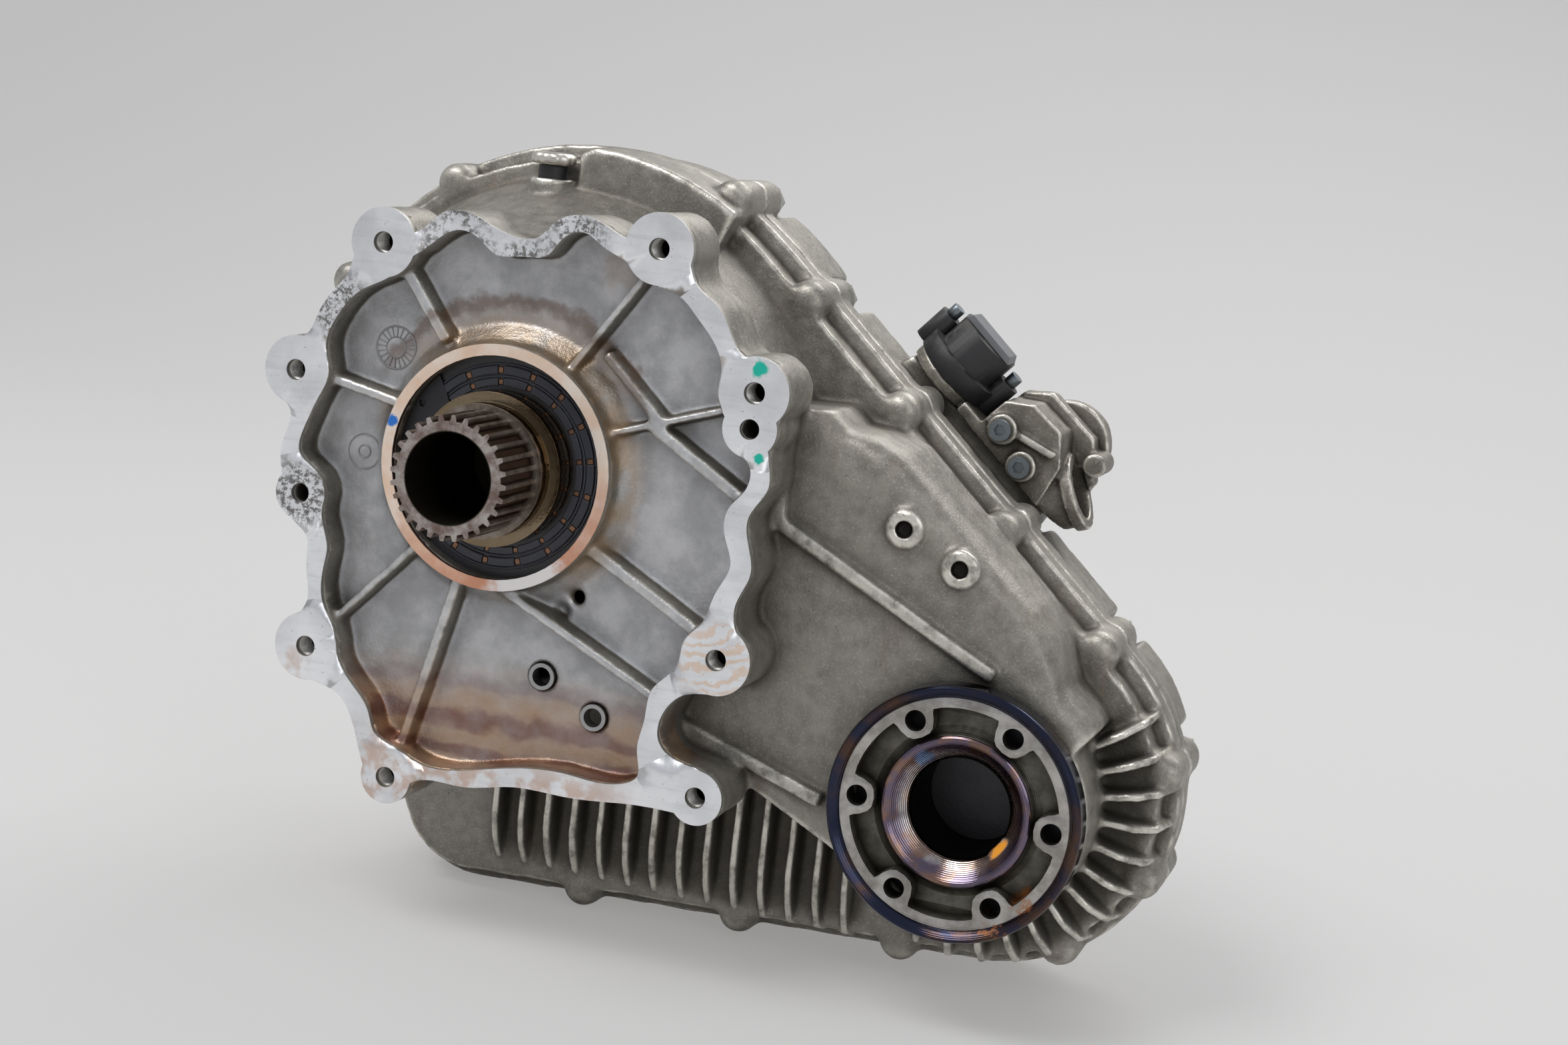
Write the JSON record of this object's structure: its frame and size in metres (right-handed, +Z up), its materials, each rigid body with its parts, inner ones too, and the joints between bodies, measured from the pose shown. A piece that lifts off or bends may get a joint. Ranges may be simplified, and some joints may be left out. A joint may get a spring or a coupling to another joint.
{
  "type": "transfer case",
  "caption": "Two-shell chain-drive transfer case with a scalloped mating face, splined input, front and rear output flanges, cooling fins and a side actuator.",
  "frame": {"origin": "the input shaft's axis in the plane of the mating face", "axes": "+X towards the front output, +Y from the mating face into the case along the shafts, +Z up"},
  "size_m": [0.4504, 0.3333, 0.3572],
  "materials": {
    "cast_aluminium": "die cast, oil-stained, machined on the mating rim",
    "rear_casting": "die cast, dusty",
    "bright_steel": "machined, oily",
    "flange_steel": "turned, light rust on the rim",
    "gear_steel": "ground",
    "seal_rubber": "black lip seal",
    "bolt_steel": "zinc plated",
    "black_plastic": "moulded",
    "grey_plastic": "moulded",
    "actuator_casting": "die cast, taupe with dirt",
    "nickel_cap": "nickel plated"
  },
  "bodies": {
    "case": {"actuator_cover": "actuator_casting", "actuator_end": "grey_plastic", "actuator_housing": "actuator_casting", "actuator_motor": "black_plastic", "actuator_screws": "bolt_steel", "breather_cap": "nickel_cap", "breather_stem": "black_plastic", "case_bolts": "bolt_steel", "drain_plug": "bolt_steel", "drive_chain": "gear_steel", "fill_plug": "bolt_steel", "front_case": "cast_aluminium", "front_output_bearing": "gear_steel", "front_output_seal": "seal_rubber", "input_bearing": "gear_steel", "input_seal": "seal_rubber", "output_pilot_bearing": "gear_steel", "rear_bearing": "gear_steel", "rear_case": "rear_casting", "rear_seal": "seal_rubber", "ring_gear": "gear_steel", "shift_rail": "gear_steel", "web_bushes": "bright_steel"},
    "input": {"input_shaft": "bright_steel"},
    "carrier": {"planet_carrier": "gear_steel", "planet_pin_1": "gear_steel", "planet_pin_2": "gear_steel", "planet_pin_3": "gear_steel", "main_shaft": "gear_steel", "rear_output_flange": "flange_steel", "rear_flange_nut": "bolt_steel"},
    "planet_1": {"planet_gear_1": "gear_steel"},
    "planet_2": {"planet_gear_2": "gear_steel"},
    "planet_3": {"planet_gear_3": "gear_steel"},
    "front_drive": {"drive_sprocket": "gear_steel"},
    "front_output": {"driven_sprocket": "gear_steel", "front_output_shaft": "gear_steel", "front_output_flange": "flange_steel"},
    "mode_sleeve": {"mode_sleeve": "gear_steel"},
    "shift_fork": {"shift_fork": "gear_steel"},
    "control": {"control_shaft": "gear_steel"}
  },
  "joints": [
    {"name": "input_spin", "type": "hinge", "parent": "case", "child": "input", "pos_m": [0, 0, 0], "axis": [0, 1, 0], "continuous": true},
    {"name": "rear_output_spin", "type": "hinge", "parent": "case", "child": "carrier", "pos_m": [0, 0, 0], "axis": [0, 1, 0], "continuous": true},
    {"name": "front_drive_spin", "type": "hinge", "parent": "case", "child": "front_drive", "pos_m": [0, 0, 0], "axis": [0, 1, 0], "continuous": true},
    {"name": "front_output_spin", "type": "hinge", "parent": "case", "child": "front_output", "pos_m": [0.219, 0, -0.1173], "axis": [0, 1, 0], "continuous": true},
    {"name": "planet_1_spin", "type": "hinge", "parent": "carrier", "child": "planet_1", "pos_m": [0, 0, 0.051], "axis": [0, 1, 0], "continuous": true},
    {"name": "planet_2_spin", "type": "hinge", "parent": "carrier", "child": "planet_2", "pos_m": [-0.04417, 0, -0.0255], "axis": [0, 1, 0], "continuous": true},
    {"name": "planet_3_spin", "type": "hinge", "parent": "carrier", "child": "planet_3", "pos_m": [0.04417, 0, -0.0255], "axis": [0, 1, 0], "continuous": true},
    {"name": "fork_slide", "type": "slide", "parent": "case", "child": "shift_fork", "axis": [0, 1, 0], "range_m": [0, 0.01]},
    {"name": "sleeve_slide", "type": "slide", "parent": "carrier", "child": "mode_sleeve", "axis": [0, 1, 0], "range_m": [0, 0.0101]},
    {"name": "control_turn", "type": "hinge", "parent": "case", "child": "control", "pos_m": [0.14905, 0.15, 0.0417], "axis": [0.6626, 0, 0.749], "range_deg": [0, 60.5]}
  ],
  "couplings": [
    {"joint": "rear_output_spin", "follows": "input_spin", "ratio": 0.35294},
    {"joint": "front_drive_spin", "follows": "input_spin", "ratio": 0.35294},
    {"joint": "front_output_spin", "follows": "input_spin", "ratio": 0.35294},
    {"joint": "planet_1_spin", "follows": "input_spin", "ratio": -1.5529},
    {"joint": "planet_2_spin", "follows": "input_spin", "ratio": -1.5529},
    {"joint": "planet_3_spin", "follows": "input_spin", "ratio": -1.5529},
    {"joint": "sleeve_slide", "follows": "fork_slide", "ratio": 1},
    {"joint": "control_turn", "follows": "fork_slide", "rad_per_m": 104.72}
  ]
}
